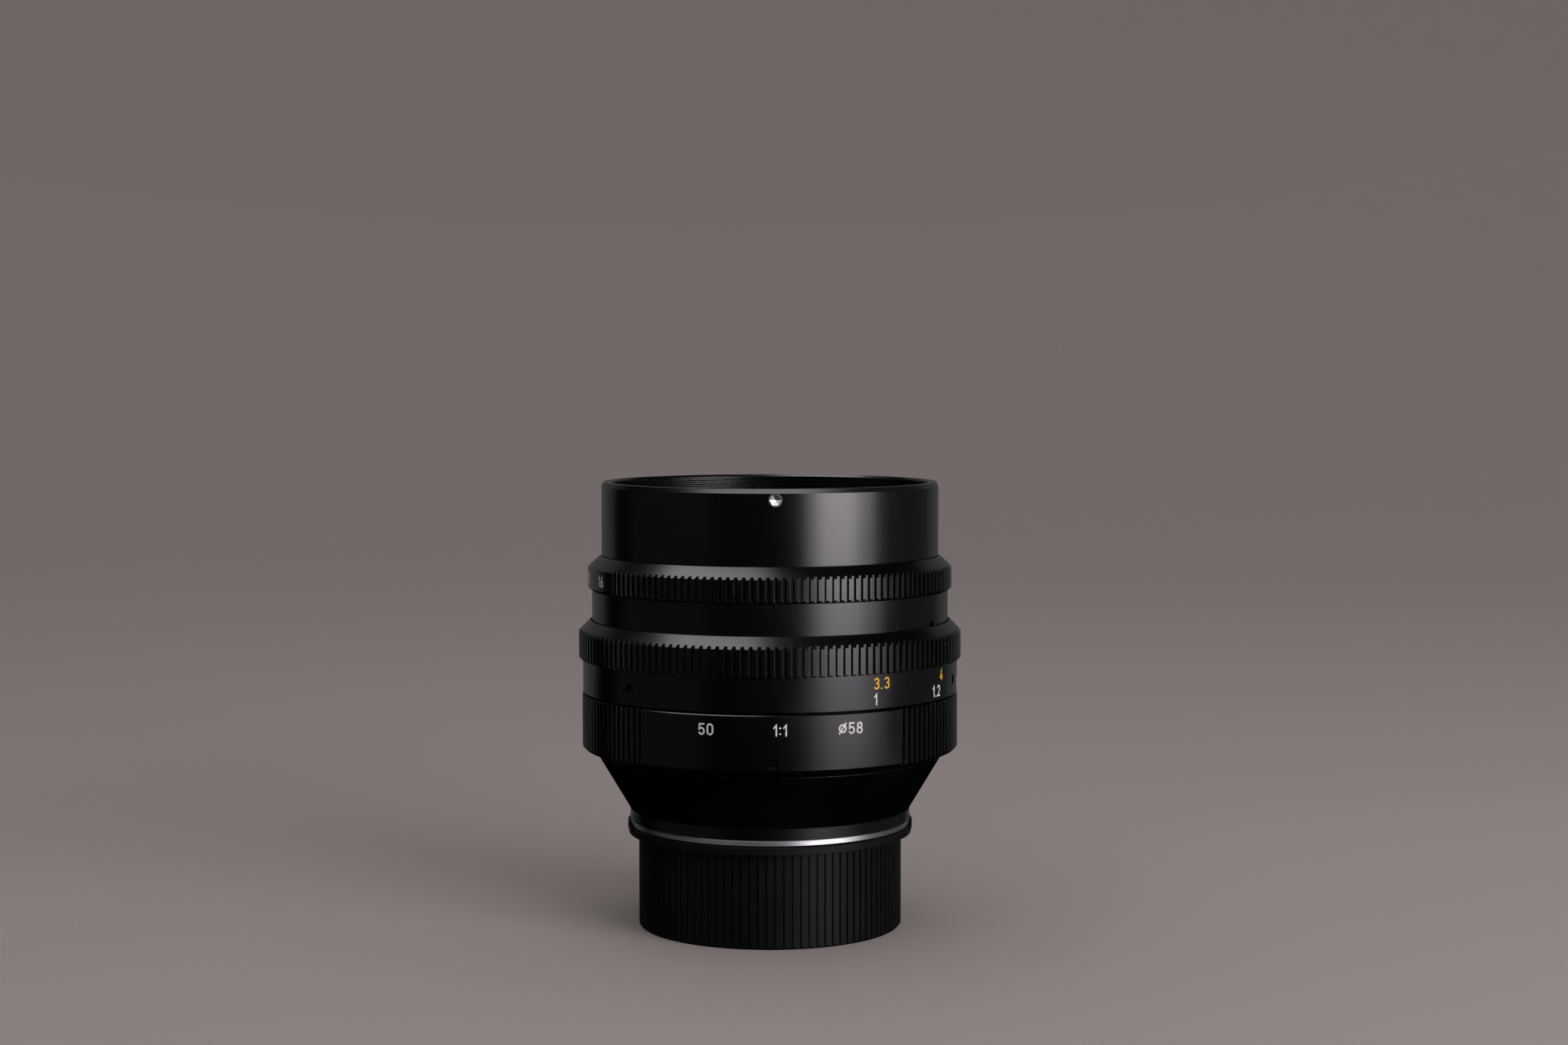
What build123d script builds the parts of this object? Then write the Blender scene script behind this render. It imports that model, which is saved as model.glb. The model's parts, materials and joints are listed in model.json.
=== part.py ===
from build123d import *
import os
from collections import namedtuple
from math import acos, asin, copysign, cos, degrees, radians, sin, sqrt

# A fast 50 mm prime lens for a rangefinder camera, standing on its rear cap.
# Origin: the centre of the cap's underside. +Z runs along the optical axis to the front of the lens.
# Azimuths are degrees anticlockwise seen from above, from 0 at -Y. The focus index is at 180, at +Y.
# At rest the lens is focused on infinity and its iris is wide open.

# ---------------------------------------------------------------- driving dimensions, mm and degrees
# outside of the lens, from the rear cap up
CAP_R = 23.80
CAP_FLANGE_R = 25.60
CAP_FLANGE_Z = 16.94
CAP_TOP_Z = 18.25
FLANGE_R = 25.25
FLANGE_Z = 18.40
NECK_R = 25.34
NECK_Z = 19.36
CONE_Z = 21.45
CONE_TOP_R = 31.90
INDEX_RING_R = 33.905
INDEX_RING_Z = 32.43
INDEX_RING_TOP_Z = 42.30
SCALE_RING_R = 33.80
SCALE_RING_Z = 42.65
GRIP_R = 34.50
GRIP_Z = 48.70
GRIP_CONE_Z = 53.50
GRIP_TOP_Z = 55.50
HEAD_R = 32.12
HEAD_SHOULDER_Z = 61.05
APERTURE_RING_R = 32.81
APERTURE_CONE_Z = 65.10
APERTURE_TOP_Z = 67.10
FRONT_R = 30.38
FRONT_Z = 67.25
FRONT_CHAMFER_Z = 79.55
RIM_R = 30.03
RIM_Z = 80.30

# ribs: axial grooves with sloping walls, each given as half its mouth, half its floor, and its depth
RING_GROOVES = 150
RING_GROOVE = (0.41, 0.25, 0.46)
CAP_GROOVES = 100
CAP_GROOVE = (0.29, 0.20, 0.30)
INDEX_PANEL_HALF = 41.5
INDEX_PANEL_AZ = -1.0
NUMBER_BAND_AZ = (168.0, 301.2)

# motion
FOCUS_THROW = 149.6
APERTURE_THROW = 113.3
APERTURE_STOPS = 8

# fits
AXIAL_GAP = 0.15
SCREW_GAP = 0.05

# sleeves inside, from the axis out
REAR_CELL_R = 18.90
CAM_TUBE_R = 19.60
BAYONET_BORE_R = 19.95
HELICOID_IN_R = 25.60
HELICOID_R = 28.00
SLEEVE_R = 30.10
BEARING_R = 31.20
BARREL_R = 32.10
SKIRT_IN_R = 30.40
SKIRT_Z = 50.60
SLEEVE_TOP_Z = 53.60
WEB_Z = 54.90
WEB_TOP_Z = 59.20
HEAD_BORE_R = 28.45
SEAT_R = 29.90
SHELF_Z = 31.20
HELICOID_Z = 30.60
IRIS_SHOULDER_Z = 40.95

# filter thread
THREAD_R = 28.60
THREAD_ROOT_R = 29.02
THREAD_PITCH = 0.75
THREAD_TURNS = 6
THREAD_TOP_Z = 79.95
THREAD_LAND_Z = 74.90

# iris
BLADES = 11
BLADE_PIVOT_R = 21.0
BLADE_EDGE_R = 17.0
BLADE_OUT_R = 23.5
BLADE_SPAN = 80.0
BLADE_THICK = 0.05
BLADE_SLOPE = 0.115
BLADE_LEAN = -11.0
BLADE_PIVOT_Z = 42.20
SMALLEST_STOP_R = 1.06
DRIVE_ARM = 7.0
DRIVE_PIN_R = 0.30
DRIVE_PIN_TOP_Z = 46.05
PIVOT_PIN_R = 0.50
CAM_PLATE_Z = 45.70
CAM_PLATE_TOP_Z = 46.85
CAM_GROOVE_DEPTH = 0.75

# worked out from those
BLADE_TURN = 2 * degrees(asin((BLADE_EDGE_R - SMALLEST_STOP_R) / (2 * BLADE_PIVOT_R)))
DRIVE_ANGLE = 90 - BLADE_TURN / 2

# ---------------------------------------------------------------- the optical glass, front to rear
# Each surface is given by its radius of curvature, positive when it bulges towards the front.
# A clear radius below the rim radius leaves a flat ground step from there out to the rim.
Glass = namedtuple("Glass", "name front_z front_curve thick rear_curve rim_r front_clear rear_clear")
GLASSES = [
    Glass("element_1_front", 74.2, 58.0, 7.4, 260.0, 26.6, 26.6, 26.6),
    Glass("element_2_front_meniscus", 65.6, 38.0, 8.2, 85.0, 23.2, 23.2, 23.2),
    Glass("element_3_inner_meniscus", 55.6, 160.0, 2.2, 30.0, 20.2, 20.2, 17.5),
    Glass("element_4_cemented_concave", 35.4, -30.0, 1.8, 55.0, 18.0, 16.0, 18.0),
    Glass("element_5_cemented_convex", 33.58, 55.0, 8.98, -38.0, 18.0, 18.0, 18.0),
    Glass("element_6_rear_convex", 24.0, 120.0, 5.4, -60.0, 18.0, 18.0, 18.0),
    Glass("element_7_rear", 17.8, 55.0, 4.6, 200.0, 17.2, 17.2, 17.2),
]


# ---------------------------------------------------------------- building blocks
def turned(points):
    """A solid of revolution about Z from a closed outline of (radius, z) points."""
    face = make_face(Polyline(*points, close=True))
    return revolve(Plane.XZ * face, Axis.Z)


def sector(r_in, r_out, z_low, z_high, az_start, az_stop):
    """A part of a ring between two azimuths."""
    corners = [(r_in, z_low), (r_out, z_low), (r_out, z_high), (r_in, z_high)]
    face = make_face(Polyline(*corners, close=True))
    swept = revolve(Plane.XZ * face, Axis.Z, az_stop - az_start)
    return Rot(0, 0, az_start - 90) * swept


def radial_rod(radius, r_from, r_to, z, azimuth):
    """A cylinder whose axis points at the optical axis."""
    rod = Cylinder(radius, r_to - r_from)
    return Rot(0, 0, azimuth) * Pos(0, -(r_from + r_to) / 2, z) * Rot(90, 0, 0) * rod


def upright_rod(radius, z_low, z_high, at_r, azimuth):
    """A cylinder parallel to the optical axis."""
    rod = Pos(0, -at_r, (z_low + z_high) / 2) * Cylinder(radius, z_high - z_low)
    return Rot(0, 0, azimuth) * rod


def groove_tools(ring_r, groove, z_low, z_high, count, is_ribbed):
    """Cutters set evenly around a ring, wherever is_ribbed(azimuth) says the ring has ribs."""
    mouth, floor, depth = groove
    above = 0.3
    reach = mouth + (mouth - floor) * above / depth
    floor_y = depth - ring_r
    mouth_y = -ring_r - above
    outline = [(-floor, floor_y), (floor, floor_y), (reach, mouth_y), (-reach, mouth_y)]
    cutter = extrude(Pos(0, 0, z_low) * make_face(Polyline(*outline, close=True)), z_high - z_low)
    pitch = 360 / count
    return [Rot(0, 0, i * pitch) * cutter for i in range(count) if is_ribbed(i * pitch)]


def thirds(azimuth):
    """Three azimuths evenly spaced from the first."""
    return [azimuth, azimuth + 120, azimuth + 240]


def slotted_screw(radius, r_from, r_to, z, azimuth):
    """A headless set screw, with a driver slot in its outer end."""
    slot = Box(2 * radius + 1, 0.8, 0.35)
    slot = Rot(0, 0, azimuth) * Pos(0, -r_to, z) * slot
    return radial_rod(radius, r_from, r_to, z, azimuth) - slot


def countersink(hole_r, depth, surface_r, z, azimuth):
    """A 45 degree chamfer around the mouth of a radial hole."""
    cone = Rot(90, 0, 0) * Cone(hole_r - depth, hole_r + depth, 2 * depth)
    return Rot(0, 0, azimuth) * Pos(0, -surface_r, z) * cone


def surface_z(vertex_z, curve, r):
    """The height of a spherical surface at a distance from the axis."""
    depth = abs(curve) - sqrt(curve * curve - r * r)
    return vertex_z - copysign(depth, curve)


def element(glass):
    """One lens element: two spherical faces and a ground cylindrical rim."""
    rear_z = glass.front_z - glass.thick

    def bow(vertex_z, curve, clear):
        points = [(0, vertex_z)]
        points += [(r, surface_z(vertex_z, curve, r)) for r in (clear / 2, clear)]
        return points

    front = bow(glass.front_z, glass.front_curve, glass.front_clear)
    rear = bow(rear_z, glass.rear_curve, glass.rear_clear)
    outline = [front[0], front[2], (glass.rim_r, front[2][1]), (glass.rim_r, rear[2][1]), rear[2], rear[0]]
    edges = [ThreePointArc(*front), ThreePointArc(*rear), Line(outline[5], outline[0])]
    for a, b in [(1, 2), (2, 3), (3, 4)]:
        if outline[a] != outline[b]:
            edges.append(Line(outline[a], outline[b]))
    return revolve(Plane.XZ * make_face(edges), Axis.Z)


# ---------------------------------------------------------------- rear cap
CAP_IN_R = 22.35
CAP_FLOOR = 1.80
TAB_Z = (16.25, 17.90)
TAB_IN_R = 21.00
TAB_WIDTH = 34.0
CLAW_COUNT = 4
CLAW_AZ = 45.0
EAR_R = 25.78
EAR_IN_R = 25.40
EAR_TOP_Z = 19.05
EAR_HALF_FOOT = 6.40
EAR_HALF_TOP = 3.60


def rear_cap():
    edge = 0.35
    body = turned([
        (0, 0), (CAP_R - edge, 0), (CAP_R, edge), (CAP_R, CAP_FLANGE_Z),
        (CAP_FLANGE_R, CAP_FLANGE_Z), (CAP_FLANGE_R, CAP_TOP_Z - 0.15), (CAP_FLANGE_R - 0.15, CAP_TOP_Z),
        (CAP_IN_R, CAP_TOP_Z), (CAP_IN_R, CAP_FLOOR), (0, CAP_FLOOR),
    ])
    body -= groove_tools(CAP_R, CAP_GROOVE, -1, CAP_FLANGE_Z - 0.35, CAP_GROOVES, lambda azimuth: True)
    for i in range(CLAW_COUNT):
        middle = CLAW_AZ + 90 * i
        ends = (middle - TAB_WIDTH / 2, middle + TAB_WIDTH / 2)
        body += sector(TAB_IN_R, CAP_IN_R + 0.2, *TAB_Z, *ends)
    return body + cap_ears()


def cap_ears():
    """Two low guards with sloping ends, left and right, that stand up around the lens flange."""
    low_z = CAP_TOP_Z - 0.6
    foot, top = EAR_HALF_FOOT, EAR_HALF_TOP
    side = [
        (-foot, low_z), (foot, low_z), (foot, CAP_TOP_Z), (top, EAR_TOP_Z), (-top, EAR_TOP_Z),
        (-foot, CAP_TOP_Z),
    ]
    bar = extrude(Plane.YZ * make_face(Polyline(*side, close=True)), 30, both=True)
    return bar & turned([(EAR_IN_R, low_z), (EAR_R, low_z), (EAR_R, EAR_TOP_Z), (EAR_IN_R, EAR_TOP_Z)])


# ---------------------------------------------------------------- fixed barrel and bayonet
FLANGE_SCREW_R = 23.20
FLANGE_SCREWS = 5
FLANGE_SCREW_AZ = 18.0
CLAW_R = 21.95
CLAW_Z = (14.60, 16.00)
CLAW_WIDTH = 44.0
BAYONET_TUBE_R = 20.75
BARREL_BORE_R = 21.40
KEY_AZS = (90.0, 270.0)
KEY_Z = (30.20, 38.00)
KEY_WIDTH = 4.0
KEY_R = (25.95, 27.70)
STOP_AZ = 90.0
STOP_Z = 37.50
STOP_R = 0.90
BARREL_TOP_Z = 41.90
BEAD_AZ = 232.0
BEAD_R = 1.45
BEAD_Z = 23.60
INDEX_SCREW_Z = 33.80
INDEX_SCREW_R = 1.00


def cone_r(z):
    """The radius of the barrel's outer cone."""
    share = (z - CONE_Z) / (INDEX_RING_Z - CONE_Z)
    return NECK_R + share * (CONE_TOP_R - NECK_R)


def flange_screw_azimuths():
    return [FLANGE_SCREW_AZ + i * 360 / FLANGE_SCREWS for i in range(FLANGE_SCREWS)]


def mount_barrel():
    key_shelf_z = KEY_Z[0]
    key_bore_r = KEY_R[0] - 0.05
    barrel = turned([
        (NECK_R - 0.1, NECK_Z), (NECK_R, NECK_Z + 0.1), (NECK_R, CONE_Z), (CONE_TOP_R, INDEX_RING_Z),
        (BARREL_R, INDEX_RING_Z), (BARREL_R, BARREL_TOP_Z), (BEARING_R, BARREL_TOP_Z), (BEARING_R, SHELF_Z),
        (HELICOID_R + 0.2, SHELF_Z), (HELICOID_R + 0.2, key_shelf_z), (key_bore_r, key_shelf_z),
        (key_bore_r, 27.6), (BARREL_BORE_R, 21.0), (BARREL_BORE_R, NECK_Z),
    ])
    for azimuth in flange_screw_azimuths():
        barrel -= upright_rod(0.85, NECK_Z - 1, 21.8, FLANGE_SCREW_R, azimuth)
    for azimuth in KEY_AZS:
        barrel -= upright_rod(0.75, 26.0, key_shelf_z + 1, 26.8, azimuth)
    for azimuth in thirds(INDEX_PANEL_AZ):
        barrel -= radial_rod(INDEX_SCREW_R + SCREW_GAP, 31.5, 36, INDEX_SCREW_Z, azimuth)
    barrel -= radial_rod(STOP_R + SCREW_GAP, 30, 36, STOP_Z, STOP_AZ)
    barrel -= bead_shape(BEAD_R + 0.03)
    return barrel


def bead_shape(radius):
    """A ball that sits half sunk in the cone."""
    return Rot(0, 0, BEAD_AZ) * Pos(0, -(cone_r(BEAD_Z) - 0.35), BEAD_Z) * Sphere(radius)


def index_ring():
    """The fixed ribbed ring with two smooth panels, one in front and one around the index."""
    inner = BARREL_R + 0.05
    low_edge = 0.45
    top_edge = 0.15
    ring = turned([
        (inner, INDEX_RING_Z), (INDEX_RING_R - low_edge, INDEX_RING_Z),
        (INDEX_RING_R, INDEX_RING_Z + low_edge), (INDEX_RING_R, INDEX_RING_TOP_Z - top_edge),
        (INDEX_RING_R - top_edge, INDEX_RING_TOP_Z), (inner, INDEX_RING_TOP_Z),
    ])

    def is_ribbed(azimuth):
        from_front = abs((azimuth - INDEX_PANEL_AZ + 180) % 360 - 180)
        return INDEX_PANEL_HALF < from_front < 180 - INDEX_PANEL_HALF

    span = (INDEX_RING_Z - 1, INDEX_RING_TOP_Z + 1)
    ring -= groove_tools(INDEX_RING_R, RING_GROOVE, *span, RING_GROOVES, is_ribbed)
    for azimuth in thirds(INDEX_PANEL_AZ):
        ring -= radial_rod(INDEX_SCREW_R + 0.1, 31, 36, INDEX_SCREW_Z, azimuth)
        ring -= countersink(INDEX_SCREW_R + 0.1, 0.2, INDEX_RING_R, INDEX_SCREW_Z, azimuth)
    return ring


def index_ring_screws():
    azimuths = thirds(INDEX_PANEL_AZ)
    return [slotted_screw(INDEX_SCREW_R, 31.6, 33.35, INDEX_SCREW_Z, azimuth) for azimuth in azimuths]


def bayonet_flange():
    """The bright flange, its tube and the four claws that lock behind a camera's mount."""
    spigot_r = BARREL_BORE_R - 0.03
    flange = turned([
        (BAYONET_BORE_R, CLAW_Z[0]), (BAYONET_TUBE_R, CLAW_Z[0]), (BAYONET_TUBE_R, FLANGE_Z),
        (FLANGE_R - 0.1, FLANGE_Z), (FLANGE_R, FLANGE_Z + 0.1), (FLANGE_R, NECK_Z - 0.1),
        (FLANGE_R - 0.1, NECK_Z), (spigot_r, NECK_Z), (spigot_r, 20.90), (BAYONET_BORE_R, 20.90),
    ])
    for i in range(CLAW_COUNT):
        middle = CLAW_AZ + 90 * i
        ends = (middle - CLAW_WIDTH / 2, middle + CLAW_WIDTH / 2)
        flange += sector(BAYONET_TUBE_R - 0.2, CLAW_R, *CLAW_Z, *ends)
    for azimuth in flange_screw_azimuths():
        flange -= upright_rod(0.85, FLANGE_Z - 1, NECK_Z + 1, FLANGE_SCREW_R, azimuth)
        flange -= flange_screw_head(azimuth, 1.40)
    lock_notch = upright_rod(1.1, FLANGE_Z - 1, FLANGE_Z + 0.7, 24.3, BEAD_AZ - 10)
    return flange - lock_notch


def flange_screw_head(azimuth, radius):
    head = Pos(0, -FLANGE_SCREW_R, FLANGE_Z + 0.3) * Cone(radius, radius - 0.6, 0.6)
    return Rot(0, 0, azimuth) * head


def flange_screws():
    screws = []
    for azimuth in flange_screw_azimuths():
        screw = flange_screw_head(azimuth, 1.35)
        screw += upright_rod(0.75, FLANGE_Z + 0.5, 21.6, FLANGE_SCREW_R, azimuth)
        slot = Rot(0, 0, azimuth) * Pos(0, -FLANGE_SCREW_R, FLANGE_Z) * Box(3, 0.35, 0.5)
        screws.append(screw - slot)
    return screws


def mounting_bead():
    return bead_shape(BEAD_R)


def guide_keys():
    """Two bars that stand in the helicoid tube's slots and stop it from turning."""
    height = KEY_Z[1] - KEY_Z[0]
    keys = []
    for azimuth in KEY_AZS:
        bar = Box(KEY_WIDTH, KEY_R[1] - KEY_R[0], height)
        bar = Pos(0, -(KEY_R[0] + KEY_R[1]) / 2, KEY_Z[0] + height / 2) * bar
        keys.append(Rot(0, 0, azimuth) * bar - upright_rod(0.75, KEY_Z[0] - 1, KEY_Z[0] + 4, 26.8, azimuth))
    return keys


def guide_key_screws():
    """Screws driven up through the barrel's shelf into the foot of each key."""
    return [upright_rod(0.70, 27.7, KEY_Z[0] + 3.8, 26.8, azimuth) for azimuth in KEY_AZS]


def focus_stop_screw():
    """Its nose runs in the focus sleeve's groove, whose ends are the ends of the focus travel."""
    return radial_rod(STOP_R, 29.25, BARREL_R - 0.05, STOP_Z, STOP_AZ)


def focus_bearing_ring():
    """Screwed into the barrel above the sleeve's foot, so the sleeve can turn but not lift."""
    ring_r = (SLEEVE_R + 0.25, BEARING_R - 0.03)
    ring = turned([(ring_r[0], 33.2), (ring_r[1], 33.2), (ring_r[1], 35.0), (ring_r[0], 35.0)])
    for azimuth in (0, 180):
        ring -= upright_rod(0.6, 34.2, 36, BEARING_R - 0.5, azimuth)
    return ring


# ---------------------------------------------------------------- focus ring
FOCUS_SCREW_AZ = -47.7
FOCUS_SCREW_Z = 45.50
FOCUS_SCREW_R = 0.85
SLEEVE_BORE_R = 28.20


def focus_sleeve():
    """The nut of the helicoid: it turns in the barrel and drives the tube that carries the optics."""
    sleeve = turned([
        (SLEEVE_BORE_R, 31.4), (BEARING_R - 0.2, 31.4), (BEARING_R - 0.2, 33.0), (SLEEVE_R, 33.0),
        (SLEEVE_R, SLEEVE_TOP_Z), (SLEEVE_BORE_R, SLEEVE_TOP_Z),
    ])
    margin = degrees((STOP_R + 0.2) / 30)
    groove_z = (STOP_Z - STOP_R - 0.2, STOP_Z + STOP_R + 0.2)
    sleeve -= sector(29.0, 32, *groove_z, STOP_AZ - FOCUS_THROW - margin, STOP_AZ + margin)
    for azimuth in thirds(FOCUS_SCREW_AZ):
        sleeve -= radial_rod(FOCUS_SCREW_R + SCREW_GAP, 29.2, 32, FOCUS_SCREW_Z, azimuth)
    return sleeve


def distance_scale_ring():
    """The plain ring that carries the distance figures."""
    inner = SLEEVE_R + 0.03
    ring = turned([
        (inner, SCALE_RING_Z), (SCALE_RING_R - 0.1, SCALE_RING_Z), (SCALE_RING_R, SCALE_RING_Z + 0.1),
        (SCALE_RING_R, GRIP_Z), (inner, GRIP_Z),
    ])
    for azimuth in thirds(FOCUS_SCREW_AZ):
        ring -= radial_rod(FOCUS_SCREW_R + SCREW_GAP, 29, 36, FOCUS_SCREW_Z, azimuth)
    return ring


def focus_set_screws():
    azimuths = thirds(FOCUS_SCREW_AZ)
    return [slotted_screw(FOCUS_SCREW_R, 29.3, 33.2, FOCUS_SCREW_Z, azimuth) for azimuth in azimuths]


def focus_grip_ring():
    """The ribbed ring that is turned to focus. Its top is a cone that closes around the lens head."""
    inner = HEAD_R + 0.23
    seat = SLEEVE_R + 0.03
    edge = 0.25
    seat_z = GRIP_Z + 1.4
    ring = turned([
        (seat, GRIP_Z), (GRIP_R - edge, GRIP_Z), (GRIP_R, GRIP_Z + edge), (GRIP_R, GRIP_CONE_Z),
        (inner + 0.2, GRIP_TOP_Z), (inner, GRIP_TOP_Z), (inner, seat_z), (seat, seat_z),
    ])
    span = (GRIP_Z - 1, GRIP_TOP_Z)
    return ring - groove_tools(GRIP_R, RING_GROOVE, *span, RING_GROOVES, lambda azimuth: True)


# ---------------------------------------------------------------- lens head: the body that slides
HEAD_SCREW_AZ = 60.0
HEAD_SCREW_Z = 55.83
HEAD_SCREW_R = 0.65
DRIVER_AZ = 120.0
DRIVER_Z = 63.20
DRIVER_R = 0.80
CLICK_AZ = 150.0
CLICK_AT_R = 31.10
BALL_R = 0.60
HOOD_PIN_R = 1.18
HOOD_PIN_Z = 78.44
PIN_FACETS = 6
PIN_FACET_DEPTH = 0.50
SEAT_STEP_Z = 66.10
NAME_RING_R = 28.85


def head_barrel():
    """The smooth ring between the two grips, with the seat that the aperture ring turns on."""
    lip = HELICOID_IN_R + 0.05
    tube_seat = HELICOID_R + 0.05
    barrel = turned([
        (SKIRT_IN_R, SKIRT_Z), (HEAD_R, SKIRT_Z), (HEAD_R, HEAD_SHOULDER_Z - 0.1),
        (HEAD_R - 0.1, HEAD_SHOULDER_Z), (SEAT_R, HEAD_SHOULDER_Z), (SEAT_R, 67.20), (29.30, 67.20),
        (29.30, 71.0), (28.80, 71.0),
        (28.80, SEAT_STEP_Z), (HEAD_BORE_R, SEAT_STEP_Z), (HEAD_BORE_R, WEB_TOP_Z), (lip, WEB_TOP_Z),
        (lip, 58.2), (tube_seat, 58.2), (tube_seat, WEB_Z), (SKIRT_IN_R, WEB_Z),
    ])
    margin = degrees((DRIVER_R + 0.2) / 29)
    slot_z = (DRIVER_Z - DRIVER_R - 0.2, DRIVER_Z + DRIVER_R + 0.2)
    barrel -= sector(27, 30.05, *slot_z, DRIVER_AZ - APERTURE_THROW - margin, DRIVER_AZ + margin)
    for azimuth in thirds(HEAD_SCREW_AZ):
        barrel -= radial_rod(HEAD_SCREW_R + SCREW_GAP, 26, 34, HEAD_SCREW_Z, azimuth)
    return barrel - upright_rod(BALL_R + 0.05, 57.6, 62, CLICK_AT_R, CLICK_AZ)


def head_set_screws():
    azimuths = thirds(HEAD_SCREW_AZ)
    return [slotted_screw(HEAD_SCREW_R, 27.2, 31.6, HEAD_SCREW_Z, azimuth) for azimuth in azimuths]


def helicoid_tube():
    """The tube that carries the optics. It slides in the focus sleeve and the keys stop it from turning."""
    tube = turned([(24.0, HELICOID_Z), (HELICOID_R, HELICOID_Z), (HELICOID_R, 58.15), (HELICOID_IN_R, 58.15),
                   (HELICOID_IN_R, IRIS_SHOULDER_Z), (24.0, IRIS_SHOULDER_Z)])
    slot_top = KEY_Z[1] + 0.5
    for azimuth in KEY_AZS:
        slot = Box(KEY_WIDTH + 0.2, 6, slot_top - HELICOID_Z + 2)
        slot = Pos(0, -27.5, (slot_top + HELICOID_Z - 2) / 2) * slot
        tube -= Rot(0, 0, azimuth) * slot
    for azimuth in thirds(HEAD_SCREW_AZ):
        tube -= radial_rod(HEAD_SCREW_R + SCREW_GAP, 27.1, 34, HEAD_SCREW_Z, azimuth)
    for azimuth in thirds(0):
        tube -= upright_rod(0.45, 39.5, 42, 24.75, azimuth)
    return tube


def front_barrel():
    """The plain outer tube at the front, threaded inside for filters."""
    half_crest = 0.10
    thread_end = THREAD_TOP_Z - THREAD_TURNS * THREAD_PITCH
    flank = (THREAD_PITCH - 4 * half_crest) / 2
    thread = []
    for i in range(THREAD_TURNS):
        top = THREAD_TOP_Z - i * THREAD_PITCH
        crest_end = top - 2 * half_crest
        thread += [
            (THREAD_R, top), (THREAD_R, crest_end), (THREAD_ROOT_R, crest_end - flank),
            (THREAD_ROOT_R, crest_end - flank - 2 * half_crest),
        ]
    outside = [(FRONT_R, FRONT_Z), (FRONT_R, FRONT_CHAMFER_Z), (RIM_R, RIM_Z), (THREAD_R + 0.3, RIM_Z)]
    name_seat = NAME_RING_R + 0.05
    head_seat = 29.35
    inside = [
        (THREAD_R, thread_end), (THREAD_R, THREAD_LAND_Z), (name_seat, THREAD_LAND_Z), (name_seat, 71.3),
        (head_seat, 71.3), (head_seat, FRONT_Z),
    ]
    barrel = turned(outside + thread + inside)
    for azimuth in (0, 180):
        barrel -= radial_rod(HOOD_PIN_R + 0.02, 25, 34, HOOD_PIN_Z, azimuth)
    return barrel


def hood_pins():
    """Two pressed pins whose polished ends lie in the barrel's outside, where a hood clips on."""
    wall_r = (THREAD_ROOT_R + 0.03, FRONT_R - 0.01)
    tube_wall = turned([(wall_r[0], 76), (wall_r[1], 76), (wall_r[1], 80.2), (wall_r[0], 80.2)])
    rim = RegularPolygon(HOOD_PIN_R - 0.15, PIN_FACETS)
    facets = loft([rim, Pos(0, 0, -PIN_FACET_DEPTH) * RegularPolygon(0.02, PIN_FACETS)])
    pins = []
    for azimuth in (0, 180):
        pin = radial_rod(HOOD_PIN_R, 25, 34, HOOD_PIN_Z, azimuth) & tube_wall
        end = Rot(0, 0, azimuth) * Pos(0, -wall_r[1], HOOD_PIN_Z) * Rot(90, 0, 0)
        pins.append(pin - end * facets)
    return pins


def name_ring():
    """The sloping ring that covers the edge of the front element."""
    return turned([
        (25.6, 71.02), (NAME_RING_R, 71.02), (NAME_RING_R, 74.7), (28.2, 74.7), (26.0, 72.6), (25.6, 72.6),
    ])


def front_retaining_ring():
    ring = turned([(25.3, 68.48), (26.6, 68.48), (26.6, 70.2), (25.5, 70.2)])
    for azimuth in (90, 270):
        ring -= Rot(0, 0, azimuth) * Pos(0, -25.9, 70.2) * Box(1.6, 3, 1.0)
    return ring


def front_cell():
    """The cell that holds the three front elements. It screws into the lens head from the front."""
    seat_z = SEAT_STEP_Z + 0.02
    return turned([
        (20.25, 47.05), (24.3, 47.05), (24.3, 61.3), (26.9, 61.3), (26.9, 65.6), (28.4, 65.6), (28.4, seat_z),
        (28.75, seat_z), (28.75, 70.9), (26.65, 70.9), (26.65, 65.40), (23.25, 65.40), (23.25, 54.06),
        (19.5, 54.96), (19.5, 54.45), (20.25, 54.45),
    ])


def middle_retaining_ring():
    return turned([(22.3, 58.45), (23.2, 58.45), (23.2, 61.0), (22.3, 61.0)])


def inner_retaining_ring():
    """Holds the third element up in the front cell, just in front of the iris."""
    return turned([(17.8, 47.07), (20.2, 47.07), (20.2, 47.72), (17.8, 47.72)])


def rear_cell():
    """The cell that holds the four rear elements. It screws into the helicoid tube from behind."""
    return turned([
        (17.25, 11.6), (REAR_CELL_R, 11.6), (REAR_CELL_R, 25.5), (20.6, 25.5), (20.6, 36.0), (23.95, 36.0),
        (23.95, 40.9), (18.05, 40.9), (18.05, 21.2), (17.6, 21.2), (17.6, 19.6), (16.6, 18.6), (16.6, 15.35),
        (17.25, 15.35),
    ])


def rear_group_ring():
    return turned([(16.4, 40.07), (18.0, 40.07), (18.0, 40.85), (16.4, 40.85)])


def rear_spacer():
    return turned([(17.0, 22.86), (18.0, 22.86), (18.0, 28.54), (17.0, 28.54)])


def rear_retaining_ring():
    ring = turned([(15.9, 11.7), (17.2, 11.7), (17.2, 12.42), (15.9, 12.42)])
    for azimuth in (90, 270):
        ring -= Rot(0, 0, azimuth) * Pos(0, -16.5, 11.7) * Box(1.4, 3, 0.7)
    return ring


def rangefinder_cam():
    """The bright ring at the rear that pushes the camera's rangefinder roller as the head slides."""
    bore = REAR_CELL_R + 0.03
    return turned([(bore, 14.2), (CAM_TUBE_R, 14.2), (CAM_TUBE_R, 25.45), (bore, 25.45)])


def click_ball():
    return Rot(0, 0, CLICK_AZ) * Pos(0, -CLICK_AT_R, 61.0 - BALL_R) * Sphere(BALL_R)


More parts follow.
